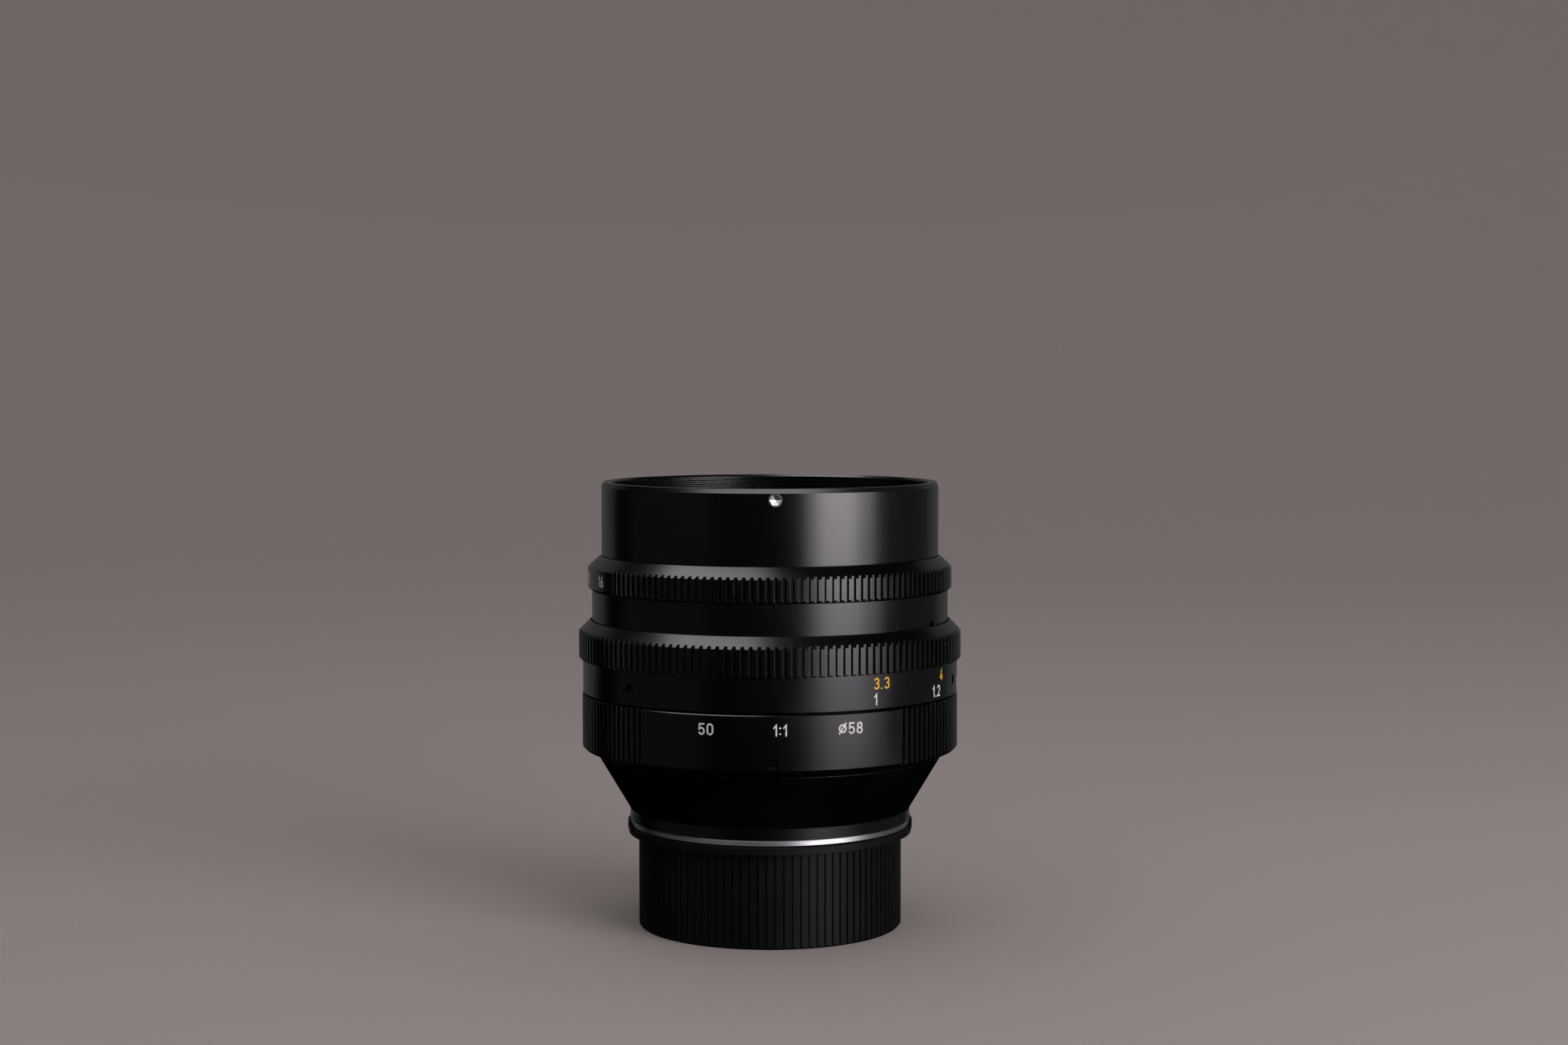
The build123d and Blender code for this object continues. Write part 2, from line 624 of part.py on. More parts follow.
def click_spring():
    """A small coil spring under the ball."""
    low_z = 57.75
    wire_r = 0.08
    height = 61.0 - 2 * BALL_R - low_z - wire_r
    path = Helix(pitch=height / 5, height=height, radius=0.4)
    section = Plane(origin=path @ 0, z_dir=path % 0) * Circle(wire_r)
    coil = sweep(section, path=path)
    return Rot(0, 0, CLICK_AZ) * Pos(0, -CLICK_AT_R, low_z) * coil


# ---------------------------------------------------------------- aperture ring
def aperture_ring():
    """The ribbed ring that sets the iris, with a smooth band for its figures and clicks underneath."""
    inner = SEAT_R + 0.25
    low_z = HEAD_SHOULDER_Z + AXIAL_GAP
    edge = 0.3
    ring = turned([
        (inner, low_z), (APERTURE_RING_R - edge, low_z), (APERTURE_RING_R, low_z + edge),
        (APERTURE_RING_R, APERTURE_CONE_Z), (FRONT_R + 0.2, APERTURE_TOP_Z), (inner, APERTURE_TOP_Z),
    ])

    def is_ribbed(azimuth):
        return not NUMBER_BAND_AZ[0] < azimuth < NUMBER_BAND_AZ[1]

    span = (low_z - 1, APERTURE_TOP_Z)
    ring -= groove_tools(APERTURE_RING_R, RING_GROOVE, *span, RING_GROOVES, is_ribbed)
    half_stop = APERTURE_THROW / APERTURE_STOPS / 2
    for i in range(2 * APERTURE_STOPS + 1):
        ring -= Rot(0, 0, CLICK_AZ + i * half_stop) * Pos(0, -CLICK_AT_R, low_z - 0.3) * Sphere(BALL_R)
    return ring - radial_rod(DRIVER_R + SCREW_GAP, 26, 36, DRIVER_Z, DRIVER_AZ)


def aperture_driver_screw():
    """Joins the aperture ring to the iris cam through a slot in the lens head."""
    return slotted_screw(DRIVER_R, 27.35, 32.1, DRIVER_Z, DRIVER_AZ)


def drive_point(turn):
    """The drive pin of the first blade in plan, when the blade has turned that far."""
    angle = radians(DRIVE_ANGLE + turn)
    return Vector(BLADE_PIVOT_R + DRIVE_ARM * cos(angle), DRIVE_ARM * sin(angle), 0)


def cam_groove():
    """One spiral groove in plan, along the drive pin's path as the cam sees it."""
    steps = 12
    half_width = DRIVE_PIN_R + 0.08

    def path_point(share):
        return drive_point(share * BLADE_TURN).rotate(Axis.Z, share * APERTURE_THROW)

    def side_point(share, side):
        along = (path_point(share + 0.001) - path_point(share - 0.001)).normalized()
        return path_point(share) + along.rotate(Axis.Z, 90) * (side * half_width)

    def end_cap(share, direction):
        along = (path_point(share + 0.001) - path_point(share - 0.001)).normalized()
        tip = path_point(share) + along * (direction * half_width)
        return ThreePointArc(side_point(share, 1), tip, side_point(share, -1))

    shares = [i / steps for i in range(steps + 1)]
    sides = [Spline([side_point(share, side) for share in shares]) for side in (1, -1)]
    return make_face([sides[0], end_cap(1, 1), sides[1], end_cap(0, -1)])


def iris_cam_ring():
    """A grooved plate that moves the blades, carried by a tube that reaches up to the aperture ring."""
    plate_in = 17.4
    tube_in = 24.55
    tube_out = HELICOID_IN_R - 0.2
    collar_r = HEAD_BORE_R - 0.2
    cam = turned([
        (plate_in, CAM_PLATE_Z), (tube_out, CAM_PLATE_Z), (tube_out, 59.6), (collar_r, 59.6),
        (collar_r, 65.3), (27.15, 65.3), (27.15, 60.8), (tube_in, 60.8), (tube_in, CAM_PLATE_TOP_Z),
        (plate_in, CAM_PLATE_TOP_Z),
    ])
    groove = extrude(Pos(0, 0, CAM_PLATE_Z - 0.1) * cam_groove(), CAM_GROOVE_DEPTH + 0.1)
    cam -= [Rot(0, 0, i * 360 / BLADES) * groove for i in range(BLADES)]
    return cam - radial_rod(DRIVER_R + SCREW_GAP, 27.25, 36, DRIVER_Z, DRIVER_AZ)


# ---------------------------------------------------------------- iris
def iris_base_plate():
    plate = turned([(16.6, IRIS_SHOULDER_Z), (25.55, IRIS_SHOULDER_Z), (25.55, 41.85), (16.6, 41.85)])
    for i in range(BLADES):
        pivot = Rot(0, 0, i * 360 / BLADES) * Pos(BLADE_PIVOT_R, 0, 41.5)
        plate -= pivot * Cylinder(PIVOT_PIN_R + 0.06, 2)
    for azimuth in thirds(0):
        plate -= upright_rod(0.45, 40, 43, 24.75, azimuth)
    return plate


def iris_plate_screws():
    return [upright_rod(0.40, 39.6, 41.8, 24.75, azimuth) for azimuth in thirds(0)]


def blade_outline():
    """A blade in plan, fully open: a crescent, a boss at its pivot and an arm for its drive pin."""
    wedge_far = 60
    corners = [(0, 0)]
    for share in (0, 0.5, 1):
        angle = radians(share * BLADE_SPAN)
        corners.append((wedge_far * cos(angle), wedge_far * sin(angle)))
    crescent = (Circle(BLADE_OUT_R) - Circle(BLADE_EDGE_R)) & make_face(Polyline(*corners, close=True))
    middle_r = (BLADE_OUT_R + BLADE_EDGE_R) / 2
    tip = Rot(0, 0, BLADE_SPAN) * Pos(middle_r, 0) * Circle((BLADE_OUT_R - BLADE_EDGE_R) / 2)
    boss = Pos(BLADE_PIVOT_R, 0) * Circle(1.7)
    pin_at = drive_point(0)
    pin_r = pin_at.length
    pin_angle = degrees(acos(pin_at.X / pin_r))
    arm = Rot(0, 0, pin_angle) * Pos(pin_r - 1.5, 0) * SlotCenterToCenter(3.0, 1.5)
    return crescent + tip + boss + arm


def iris_blade():
    """A thin blade, tilted along its length so that each one lies over the next all the way round."""
    lean = radians(BLADE_LEAN - BLADE_TURN / 2)
    slab_plane = Plane(origin=(BLADE_PIVOT_R, 0, BLADE_PIVOT_Z),
                       z_dir=(BLADE_SLOPE * cos(lean), BLADE_SLOPE * sin(lean), 1))
    slab = slab_plane * Box(120, 120, BLADE_THICK)
    blade = extrude(Pos(0, 0, BLADE_PIVOT_Z - 3) * blade_outline(), 9) & slab
    pivot_pin_low = IRIS_SHOULDER_Z + 0.1
    blade += Pos(BLADE_PIVOT_R, 0, (pivot_pin_low + BLADE_PIVOT_Z) / 2) * Cylinder(
        PIVOT_PIN_R, BLADE_PIVOT_Z - pivot_pin_low)
    pin_at = drive_point(0)
    blade += Pos(pin_at.X, pin_at.Y, (BLADE_PIVOT_Z + DRIVE_PIN_TOP_Z) / 2) * Cylinder(
        DRIVE_PIN_R, DRIVE_PIN_TOP_Z - BLADE_PIVOT_Z)
    return blade


# ---------------------------------------------------------------- write the parts
def as_one(solids):
    """Separate solids that share one node."""
    return Compound(children=[solid.solid() for solid in solids])


SINGLES = [
    rear_cap, mount_barrel, index_ring, bayonet_flange, mounting_bead, focus_stop_screw, focus_bearing_ring,
    focus_sleeve, distance_scale_ring, focus_grip_ring, head_barrel, helicoid_tube, front_barrel, name_ring,
    front_retaining_ring, front_cell, middle_retaining_ring, inner_retaining_ring, rear_cell, rear_group_ring,
    rear_spacer, rear_retaining_ring, rangefinder_cam, click_ball, click_spring, aperture_ring,
    aperture_driver_screw, iris_cam_ring, iris_base_plate,
]
GROUPS = [
    index_ring_screws, flange_screws, guide_keys, guide_key_screws, focus_set_screws, head_set_screws,
    hood_pins, iris_plate_screws,
]

os.makedirs("parts", exist_ok=True)
for make in SINGLES:
    export_step(make(), f"parts/{make.__name__}.step")
for make in GROUPS:
    export_step(as_one(make()), f"parts/{make.__name__}.step")
for glass in GLASSES:
    export_step(element(glass), f"parts/{glass.name}.step")
blade = iris_blade()
for i in range(BLADES):
    export_step(Rot(0, 0, i * 360 / BLADES) * blade, f"parts/iris_blade_{i + 1:02d}.step")
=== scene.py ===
import json
from math import cos, pi, radians, sin

import bmesh
import bpy
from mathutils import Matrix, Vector


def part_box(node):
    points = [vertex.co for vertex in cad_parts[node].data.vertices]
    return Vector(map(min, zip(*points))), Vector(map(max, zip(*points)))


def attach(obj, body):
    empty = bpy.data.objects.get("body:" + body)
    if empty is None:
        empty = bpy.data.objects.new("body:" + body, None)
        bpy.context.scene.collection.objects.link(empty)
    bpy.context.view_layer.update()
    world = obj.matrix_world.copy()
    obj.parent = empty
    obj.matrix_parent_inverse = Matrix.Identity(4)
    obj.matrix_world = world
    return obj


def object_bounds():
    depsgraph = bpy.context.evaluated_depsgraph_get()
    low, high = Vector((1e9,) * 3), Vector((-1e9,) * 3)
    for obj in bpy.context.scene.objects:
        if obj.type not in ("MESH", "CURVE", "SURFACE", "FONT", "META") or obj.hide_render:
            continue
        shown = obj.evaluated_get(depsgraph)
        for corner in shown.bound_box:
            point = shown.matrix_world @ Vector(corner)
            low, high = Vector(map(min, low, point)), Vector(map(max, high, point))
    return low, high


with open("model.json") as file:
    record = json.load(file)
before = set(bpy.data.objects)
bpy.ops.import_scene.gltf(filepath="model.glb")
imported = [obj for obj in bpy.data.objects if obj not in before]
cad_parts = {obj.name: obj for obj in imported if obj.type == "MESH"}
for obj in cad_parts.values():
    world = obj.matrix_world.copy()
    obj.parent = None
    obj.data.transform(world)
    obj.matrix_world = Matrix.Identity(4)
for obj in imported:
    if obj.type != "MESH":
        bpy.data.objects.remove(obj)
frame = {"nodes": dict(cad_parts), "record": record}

# A prime camera lens standing on its rear cap: its finishes, its figures, a studio and a camera.
# Azimuths are degrees anticlockwise seen from above, from 0 at -Y, where the camera stands.
# The focus index is at azimuth 180. At rest the lens is focused on infinity and wide open.

MM = 0.001
cad_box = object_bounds()
lens_top = cad_box[1].z
nodes = frame["nodes"]


def radius_of(node):
    """The outer radius of a round CAD node."""
    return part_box(node)[1].x


def span_of(node):
    """The lowest and highest z of a CAD node."""
    low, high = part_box(node)
    return low.z, high.z


def throw_of(joint_name):
    """How far a turning joint goes, in degrees."""
    for joint in frame["record"]["behaviour"]["joints"]:
        if joint["name"] == joint_name:
            low, high = joint["range_deg"]
            return high - low
    raise ValueError(joint_name)


FOCUS_THROW = throw_of("focus_turn")
APERTURE_THROW = throw_of("aperture_turn")


# ---------------------------------------------------------------- materials
class Look:
    """A material with one Principled shader, and short ways to add nodes that feed it."""

    def __init__(self, name, color, **sockets):
        self.material = bpy.data.materials.new(name)
        self.material.use_nodes = True
        self.tree = self.material.node_tree
        self.shader = self.tree.nodes["Principled BSDF"]
        self.shader.inputs["Base Color"].default_value = (*color, 1)
        for socket, value in sockets.items():
            self.shader.inputs[socket.replace("_", " ")].default_value = value

    def node(self, kind, inputs=None, **settings):
        made = self.tree.nodes.new("ShaderNode" + kind)
        for setting, value in settings.items():
            setattr(made, setting, value)
        for socket, value in (inputs or {}).items():
            self.feed(made.inputs[socket], value)
        return made

    def feed(self, socket, value):
        if isinstance(value, bpy.types.NodeSocket):
            self.tree.links.new(value, socket)
        else:
            socket.default_value = value

    def set(self, socket, value):
        self.feed(self.shader.inputs[socket], value)

    def math(self, operation, a, b=0.0, c=0.0):
        return self.node("Math", {0: a, 1: b, 2: c}, operation=operation).outputs[0]

    def vector(self, operation, a, b=(0, 0, 0)):
        made = self.node("VectorMath", {0: a, 1: b}, operation=operation)
        return made.outputs["Value" if operation in ("LENGTH", "DOT_PRODUCT") else "Vector"]

    def position(self):
        return self.node("TexCoord").outputs["Object"]

    def height(self):
        return self.node("SeparateXYZ", {0: self.position()}).outputs["Z"]

    def from_axis(self):
        return self.vector("LENGTH", self.vector("MULTIPLY", self.position(), (1, 1, 0)))

    def noise(self, vector, scale, detail=2.0, rough=0.5):
        inputs = {"Vector": vector, "Scale": scale, "Detail": detail, "Roughness": rough}
        return self.node("TexNoise", inputs).outputs["Fac"]

    def ramp(self, value, low, high, to_low=0.0, to_high=1.0):
        """value mapped smoothly from low..high to to_low..to_high."""
        inputs = {"Value": value, "From Min": low, "From Max": high, "To Min": to_low, "To Max": to_high}
        return self.node("MapRange", inputs, interpolation_type="SMOOTHSTEP").outputs["Result"]

    def mix(self, share, a, b):
        """A colour from a to b by share."""
        made = self.node("Mix", {0: share}, data_type="RGBA")
        self.feed(made.inputs[6], a)
        self.feed(made.inputs[7], b)
        return made.outputs[2]

    def bump(self, height, strength, distance):
        inputs = {"Height": height, "Strength": strength, "Distance": distance}
        return self.node("Bump", inputs).outputs["Normal"]

    def turning(self, pitch, wander=2.5):
        """Noise in rings around the optical axis, as a lathe tool leaves them."""
        flat = self.vector("MULTIPLY", self.position(), (1, 1, 0))
        around = self.vector("SCALE", self.vector("NORMALIZE", flat))
        around.node.inputs["Scale"].default_value = wander
        across = self.math("MULTIPLY_ADD", self.vector("LENGTH", flat), 0.7, self.height())
        stacked = self.node("CombineXYZ", {"Z": self.math("MULTIPLY", across, 1 / pitch)}).outputs[0]
        return self.noise(self.vector("ADD", around, stacked), 1.0, 3.0, 0.6)

    def edge_wear(self, width, low, high):
        """1 on sharp edges where a coarse noise lets it through, 0 elsewhere."""
        rounded = self.node("Bevel", {"Radius": width}, samples=4).outputs["Normal"]
        true_normal = self.node("NewGeometry").outputs["Normal"]
        bent = self.math("SUBTRACT", 1.0, self.vector("DOT_PRODUCT", rounded, true_normal))
        edge = self.ramp(bent, 0.02, 0.12)
        patches = self.ramp(self.noise(self.position(), 420.0, 3.0, 0.6), low, high)
        return self.math("MULTIPLY", edge, patches)

    def dust(self, cells, amount):
        """Small separate specks: 1 inside a speck."""
        specks = self.node("TexVoronoi", {"Vector": self.position(), "Scale": cells})
        ragged = self.noise(self.position(), cells * 9.0, 2.0, 0.6)
        distance = self.math("MULTIPLY_ADD", ragged, 0.10, specks.outputs["Distance"])
        near = self.ramp(distance, 0.08, 0.125, 1.0, 0.0)
        lot = self.node("SeparateColor", {0: specks.outputs["Color"]}).outputs[0]
        chosen = self.math("LESS_THAN", lot, amount)
        return self.math("MULTIPLY", near, chosen)


DUST_COLOR = (0.16, 0.15, 0.135, 1)
BARE_METAL = (0.42, 0.41, 0.40, 1)
# the near-black below is painted shade in the gaps between the rings, and the colour of the pins' inner ends
NEAR_BLACK = (0.03, 0.03, 0.03, 1)
UNDER_PAINT = (0.02, 0.02, 0.02, 1)
# where metal is coloured black although its node is bright: the pins' inner ends inside the front barrel, and
# the bearing rims outside a set radius, painted black as shade in the gaps between the rings
PIN_SKIN_R = radius_of("front_barrel") - 0.9 * MM
PIN_LOW_Z = lens_top - 5 * MM
GAP_SHADE_R = 29.8 * MM


def anodised(name, color, roughness, lines, wear=0.5, anisotropy=0.5, dust=0.05):
    """Black anodised aluminium: a dyed oxide skin over turned metal, bare where its edges are rubbed."""
    look = Look(name, color, IOR=1.65, Anisotropic=anisotropy, Anisotropic_Rotation=0.25)
    look.set("Tangent", look.node("Tangent", direction_type="RADIAL", axis="Z").outputs[0])
    rings = look.turning(0.16 * MM)
    bands = look.turning(0.6 * MM, 0.5)
    fine = look.noise(look.position(), 7000.0, 2.0)
    smudge = look.noise(look.position(), 70.0, 3.0, 0.55)
    worn = look.edge_wear(0.10 * MM, 0.60, 0.72)
    worn = look.math("MULTIPLY", worn, wear)
    specks = look.dust(900.0, dust)
    darker = tuple(0.6 * channel for channel in color)
    body = look.mix(look.ramp(smudge, 0.35, 0.7), (*darker, 1), (*color, 1))
    body = look.mix(specks, body, DUST_COLOR)
    look.set("Base Color", look.mix(worn, body, BARE_METAL))
    look.set("Metallic", worn)
    rough = roughness
    for pattern, swing in ((rings, 0.04), (bands, 0.02), (smudge, 0.10)):
        rough = look.math("MULTIPLY_ADD", pattern, swing, look.math("SUBTRACT", rough, swing / 2))
    look.set("Roughness", look.math("ADD", rough, look.math("MULTIPLY", specks, 0.4)))
    relief = look.math("MULTIPLY_ADD", rings, 0.10, look.math("MULTIPLY", fine, 0.2))
    look.set("Normal", look.bump(relief, lines, 0.01 * MM))
    return look.material


def pin_inside(look):
    """1 on the inner ends of the hood pins, inside the front barrel, where their colour is made near-black.
    """
    inner = look.math("LESS_THAN", look.from_axis(), PIN_SKIN_R)
    return look.math("MULTIPLY", inner, look.math("GREATER_THAN", look.height(), PIN_LOW_Z))


def greased_outside(look):
    """Painted shade: 1 on the rims of the bearings, made black where the gaps between the rings show them."""
    return look.ramp(look.from_axis(), GAP_SHADE_R, GAP_SHADE_R + 0.1 * MM)


def bare_metal(name, color, roughness, lines, stain, dark=None):
    """Turned or ground metal with lathe rings and stains. dark(look) gives where its colour is made
    near-black.
    """
    look = Look(name, color, Metallic=1.0, Anisotropic=0.6, Anisotropic_Rotation=0.25)
    look.set("Tangent", look.node("Tangent", direction_type="RADIAL", axis="Z").outputs[0])
    rings = look.turning(0.12 * MM)
    cloud = look.noise(look.position(), 160.0, 4.0, 0.6)
    dull = tuple(channel * (1 - stain) for channel in color)
    body = look.mix(look.ramp(cloud, 0.35, 0.75), (*color, 1), (*dull, 1))
    if dark:
        body = look.mix(dark(look), body, NEAR_BLACK)
    look.set("Base Color", body)
    rough = look.math("MULTIPLY_ADD", cloud, 0.12, roughness - 0.06)
    look.set("Roughness", look.math("MULTIPLY_ADD", rings, 0.08, rough))
    look.set("Normal", look.bump(rings, lines, 0.008 * MM))
    return look.material


def cap_plastic(name):
    """Moulded black plastic with a fine spark-eroded grain, rubbed a little shiny, and dusty in its ribs."""
    color = (0.0036, 0.0036, 0.0038)
    look = Look(name, color, IOR=1.27)
    grain = look.noise(look.position(), 5200.0, 3.0, 0.6)
    flow = look.noise(look.position(), 90.0, 4.0, 0.6)
    specks = look.dust(1100.0, 0.05)
    body = look.mix(look.ramp(flow, 0.3, 0.75), (*color, 1), (0.0060, 0.0060, 0.0063, 1))
    look.set("Base Color", look.mix(specks, body, DUST_COLOR))
    rough = look.math("MULTIPLY_ADD", flow, 0.16, 0.34)
    look.set("Roughness", look.math("MULTIPLY_ADD", grain, 0.08, rough))
    look.set("Normal", look.bump(grain, 0.25, 0.02 * MM))
    return look.material


def paint(name, color, chipped):
    """Paint filled into an engraving: a little uneven, and worn away in places to the black below."""
    look = Look(name, color, IOR=1.5)
    spread = look.noise(look.position(), 900.0, 3.0, 0.6)
    wear = look.ramp(look.noise(look.position(), 1500.0, 4.0, 0.7), 0.62, 0.70)
    wear = look.math("MULTIPLY", wear, look.ramp(look.noise(look.position(), 130.0, 2.0), 0.45, 0.6))
    dull = tuple(channel * 0.82 for channel in color)
    coat = look.mix(look.ramp(spread, 0.3, 0.7), (*color, 1), (*dull, 1))
    look.set("Base Color", look.mix(look.math("MULTIPLY", wear, chipped), coat, UNDER_PAINT))
    look.set("Roughness", look.math("MULTIPLY_ADD", spread, 0.2, 0.42))
    look.set("Normal", look.bump(spread, 0.3, 0.01 * MM))
    return look.material


def coated_glass(name, tint, reflection):
    """Polished glass with a little dust. The low IOR stands for its coating, which tints its reflections."""
    look = Look(name, tint, IOR=1.22, Transmission_Weight=1.0, Specular_Tint=(*reflection, 1))
    haze = look.noise(look.position(), 45.0, 3.0, 0.5)
    specks = look.dust(700.0, 0.012)
    look.set("Roughness", look.math("MULTIPLY_ADD", specks, 0.5, look.ramp(haze, 0.4, 0.8, 0.0, 0.025)))
    look.set("Normal", look.bump(haze, 0.02, 0.01 * MM))
    return look.material


def glossy_plastic(name, color):
    look = Look(name, color, IOR=1.5, Coat_Weight=0.6, Coat_Roughness=0.06)
    ripple = look.noise(look.position(), 600.0, 2.0)
    depth = tuple(channel * 0.7 for channel in color)
    look.set("Base Color", look.mix(ripple, (*color, 1), (*depth, 1)))
    look.set("Roughness", look.math("MULTIPLY_ADD", ripple, 0.1, 0.12))
    look.set("Normal", look.bump(ripple, 0.1, 0.02 * MM))
    return look.material


BLACK = (0.0022, 0.0019, 0.0021)
looks = {
    "black_anodised": anodised("black_anodised", BLACK, 0.25, 0.12, wear=0.3, anisotropy=0.1),
    "black_grip": anodised("black_grip", BLACK, 0.26, 0.08, wear=0.4, anisotropy=0.1, dust=0.06),
    "black_inner": anodised("black_inner", (0.0050, 0.0050, 0.0055), 0.20, 0.2, wear=0.1, anisotropy=0.0),
    "bright_chrome": bare_metal("bright_chrome", (0.86, 0.86, 0.87), 0.36, 0.10, 0.12),
    # the brass turns black at the bearing rims: painted shade in the gaps between the rings
    "turned_brass": bare_metal("turned_brass", (0.72, 0.50, 0.22), 0.28, 0.25, 0.25, dark=greased_outside),
    "turned_aluminium": bare_metal("turned_aluminium", (0.66, 0.66, 0.67), 0.30, 0.25, 0.15),
    "blackened_screw": bare_metal("blackened_screw", (0.045, 0.045, 0.048), 0.30, 0.2, 0.4),
    "bright_steel": bare_metal("bright_steel", (0.80, 0.80, 0.82), 0.30, 0.05, 0.1, dark=pin_inside),
    "blade_steel": bare_metal("blade_steel", (0.060, 0.060, 0.066), 0.36, 0.1, 0.3),
    "coated_glass": coated_glass("coated_glass", (0.96, 0.95, 0.97), (0.62, 0.42, 0.95)),
    "black_plastic": cap_plastic("black_plastic"),
    "red_bead": glossy_plastic("red_bead", (0.55, 0.01, 0.012)),
    "white_figures": paint("white_figures", (0.88, 0.86, 0.83), 0.8),
    "yellow_figures": paint("yellow_figures", (0.95, 0.52, 0.035), 0.4),
}
for part in frame["record"]["subparts"]:
    for material_slot in nodes[part["node"]].material_slots:
        material_slot.material = looks[part["material_slot"]]

# ---------------------------------------------------------------- engraved figures
# A figure is drawn with round-ended strokes. Heights are 1 and the pen runs along the middle of each stroke.
WIDE = 0.52


def arc(x, y, rx, ry, start, stop, steps=10):
    """Points along a part of an ellipse, in degrees anticlockwise from the right."""
    angles = [radians(start + (stop - start) * i / steps) for i in range(steps + 1)]
    return [(x + rx * cos(a), y + ry * sin(a)) for a in angles]


MID = WIDE / 2
SIX_BOWL = arc(MID, 0.28, MID, 0.28, 150, 510, 24)
STROKES = {
    "0": [arc(MID, 0.72, MID, 0.28, 0, 180) + arc(MID, 0.28, MID, 0.28, 180, 360) + [(WIDE, 0.72)]],
    "1": [[(0.0, 0.74), (0.22, 1.0), (0.22, 0.0)]],
    "2": [arc(MID, 0.73, MID, 0.27, 165, -28) + [(0.0, 0.0), (WIDE, 0.0)]],
    "3": [arc(MID, 0.76, MID * 0.92, 0.24, 150, -80) + arc(MID, 0.27, MID, 0.27, 80, -150)],
    "4": [[(0.34, 1.0), (0.0, 0.24), (WIDE, 0.24)], [(0.37, 0.52), (0.37, 0.0)]],
    "5": [[(WIDE * 0.92, 1.0), (0.06, 1.0), (0.03, 0.52)] + arc(MID, 0.31, MID, 0.31, 125, -150)],
    "6": [[(0.36, 1.0)] + SIX_BOWL],
    "7": [[(0.0, 1.0), (WIDE, 1.0), (0.16, 0.0)]],
    "8": [
        arc(MID, 0.76, MID * 0.86, 0.24, -90, 270, 20),
        arc(MID, 0.26, MID, 0.26, -90, 270, 20),
    ],
    "9": [[(WIDE - x, 1 - y) for x, y in [(0.36, 1.0)] + SIX_BOWL]],
    ".": [[(0.0, 0.0), (0.02, 0.0)]],
    ":": [[(0.0, 0.15), (0.02, 0.15)], [(0.0, 0.72), (0.02, 0.72)]],
    "\N{INFINITY}": [arc(0.26, 0.45, 0.26, 0.22, 20, 340, 16) + arc(0.90, 0.45, 0.26, 0.22, 200, 520, 16)],
    "\N{DIAMETER SIGN}": [arc(0.4, 0.5, 0.34, 0.36, 0, 360, 24), [(0.06, 0.0), (0.74, 1.0)]],
}
GAP = 0.36
SPACE = 0.62


def stroke_width_of(letter):
    return max((x for stroke in STROKES.get(letter, []) for x, y in stroke), default=SPACE - GAP)


def figure_strokes(text, height):
    """The strokes of a text centred on 0, 0, in metres."""
    advance = 0.0
    strokes = []
    for letter in text:
        for stroke in STROKES.get(letter, []):
            strokes.append([(advance + x, y - 0.5) for x, y in stroke])
        advance += stroke_width_of(letter) + GAP
    middle = (advance - GAP) / 2
    return [[((x - middle) * height, y * height) for x, y in stroke] for stroke in strokes]


def on_barrel(radius, azimuth, z, lift, x, y):
    """A point of a drawing laid on a cylinder, x to the right and y up."""
    angle = radians(azimuth) + x / radius
    out = radius + lift
    return Vector((out * sin(angle), -out * cos(angle), z + y))


class Engraving:
    """One mesh of paint-filled strokes, a hair proud of the metal so that it catches the light."""

    def __init__(self, width):
        self.mesh = bmesh.new()
        self.width = width

    def stroke(self, points, place):
        """A flat-topped band with rounded ends along the points. place(x, y, lift) lays it on the object."""
        half = self.width / 2
        points = [Vector(p) for p in points]
        first = (points[1] - points[0]).normalized()
        last = (points[-1] - points[-2]).normalized()
        stations = []
        for turn in (80, 50, 20):
            stations.append((points[0] - first * half * sin(radians(turn)), first, half * cos(radians(turn))))
        for i, point in enumerate(points):
            before = (point - points[i - 1]).normalized() if i else first
            after = (points[i + 1] - point).normalized() if i + 1 < len(points) else last
            along = (before + after).normalized()
            stretch = 1 / max(0.45, before.dot(along))
            stations.append((point, along, half * stretch))
        for turn in (20, 50, 80):
            stations.append((points[-1] + last * half * sin(radians(turn)), last, half * cos(radians(turn))))
        profile = [(-1.0, SINK), (-0.86, RISE), (0.0, RISE * 1.15), (0.86, RISE), (1.0, SINK)]
        rows = []
        for centre, along, reach in stations:
            side = Vector((along.y, -along.x))
            across = [(centre + side * (reach * share), lift) for share, lift in profile]
            rows.append([self.mesh.verts.new(place(*point, lift)) for point, lift in across])
        for row, following in zip(rows, rows[1:]):
            for i in range(len(profile) - 1):
                self.mesh.faces.new((row[i], row[i + 1], following[i + 1], following[i]))
            self.mesh.faces.new((row[-1], row[0], following[0], following[-1]))
        self.mesh.faces.new(rows[0])
        self.mesh.faces.new(rows[-1][::-1])

    def finish(self, name, body, slot):
        bmesh.ops.recalc_face_normals(self.mesh, faces=self.mesh.faces)
        data = bpy.data.meshes.new(name)
        self.mesh.to_mesh(data)
        self.mesh.free()
        for face in data.polygons:
            face.use_smooth = False
        piece = bpy.data.objects.new(name, data)
        bpy.context.scene.collection.objects.link(piece)
        piece.data.materials.append(looks[slot])
        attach(piece, body)
        return piece


# The strokes' sides go SINK into the metal and their tops stand RISE above it.
SINK = -0.03 * MM
RISE = 0.005 * MM
FIGURE_HEIGHT = 1.74 * MM
PEN = 0.33 * MM
THIN_PEN = 0.26 * MM
MARK_PEN = 0.34 * MM


def figure_ring(name, body, slot, radius, z, figures, height=FIGURE_HEIGHT, pen=PEN):
    """Figures around a cylinder. figures is a list of (text, azimuth)."""
    engraving = Engraving(pen)
    for text, azimuth in figures:
        for points in figure_strokes(text, height):
            engraving.stroke(points, lambda x, y, lift: on_barrel(radius, azimuth, z, lift, x, y))
    return engraving.finish(name, body, slot)


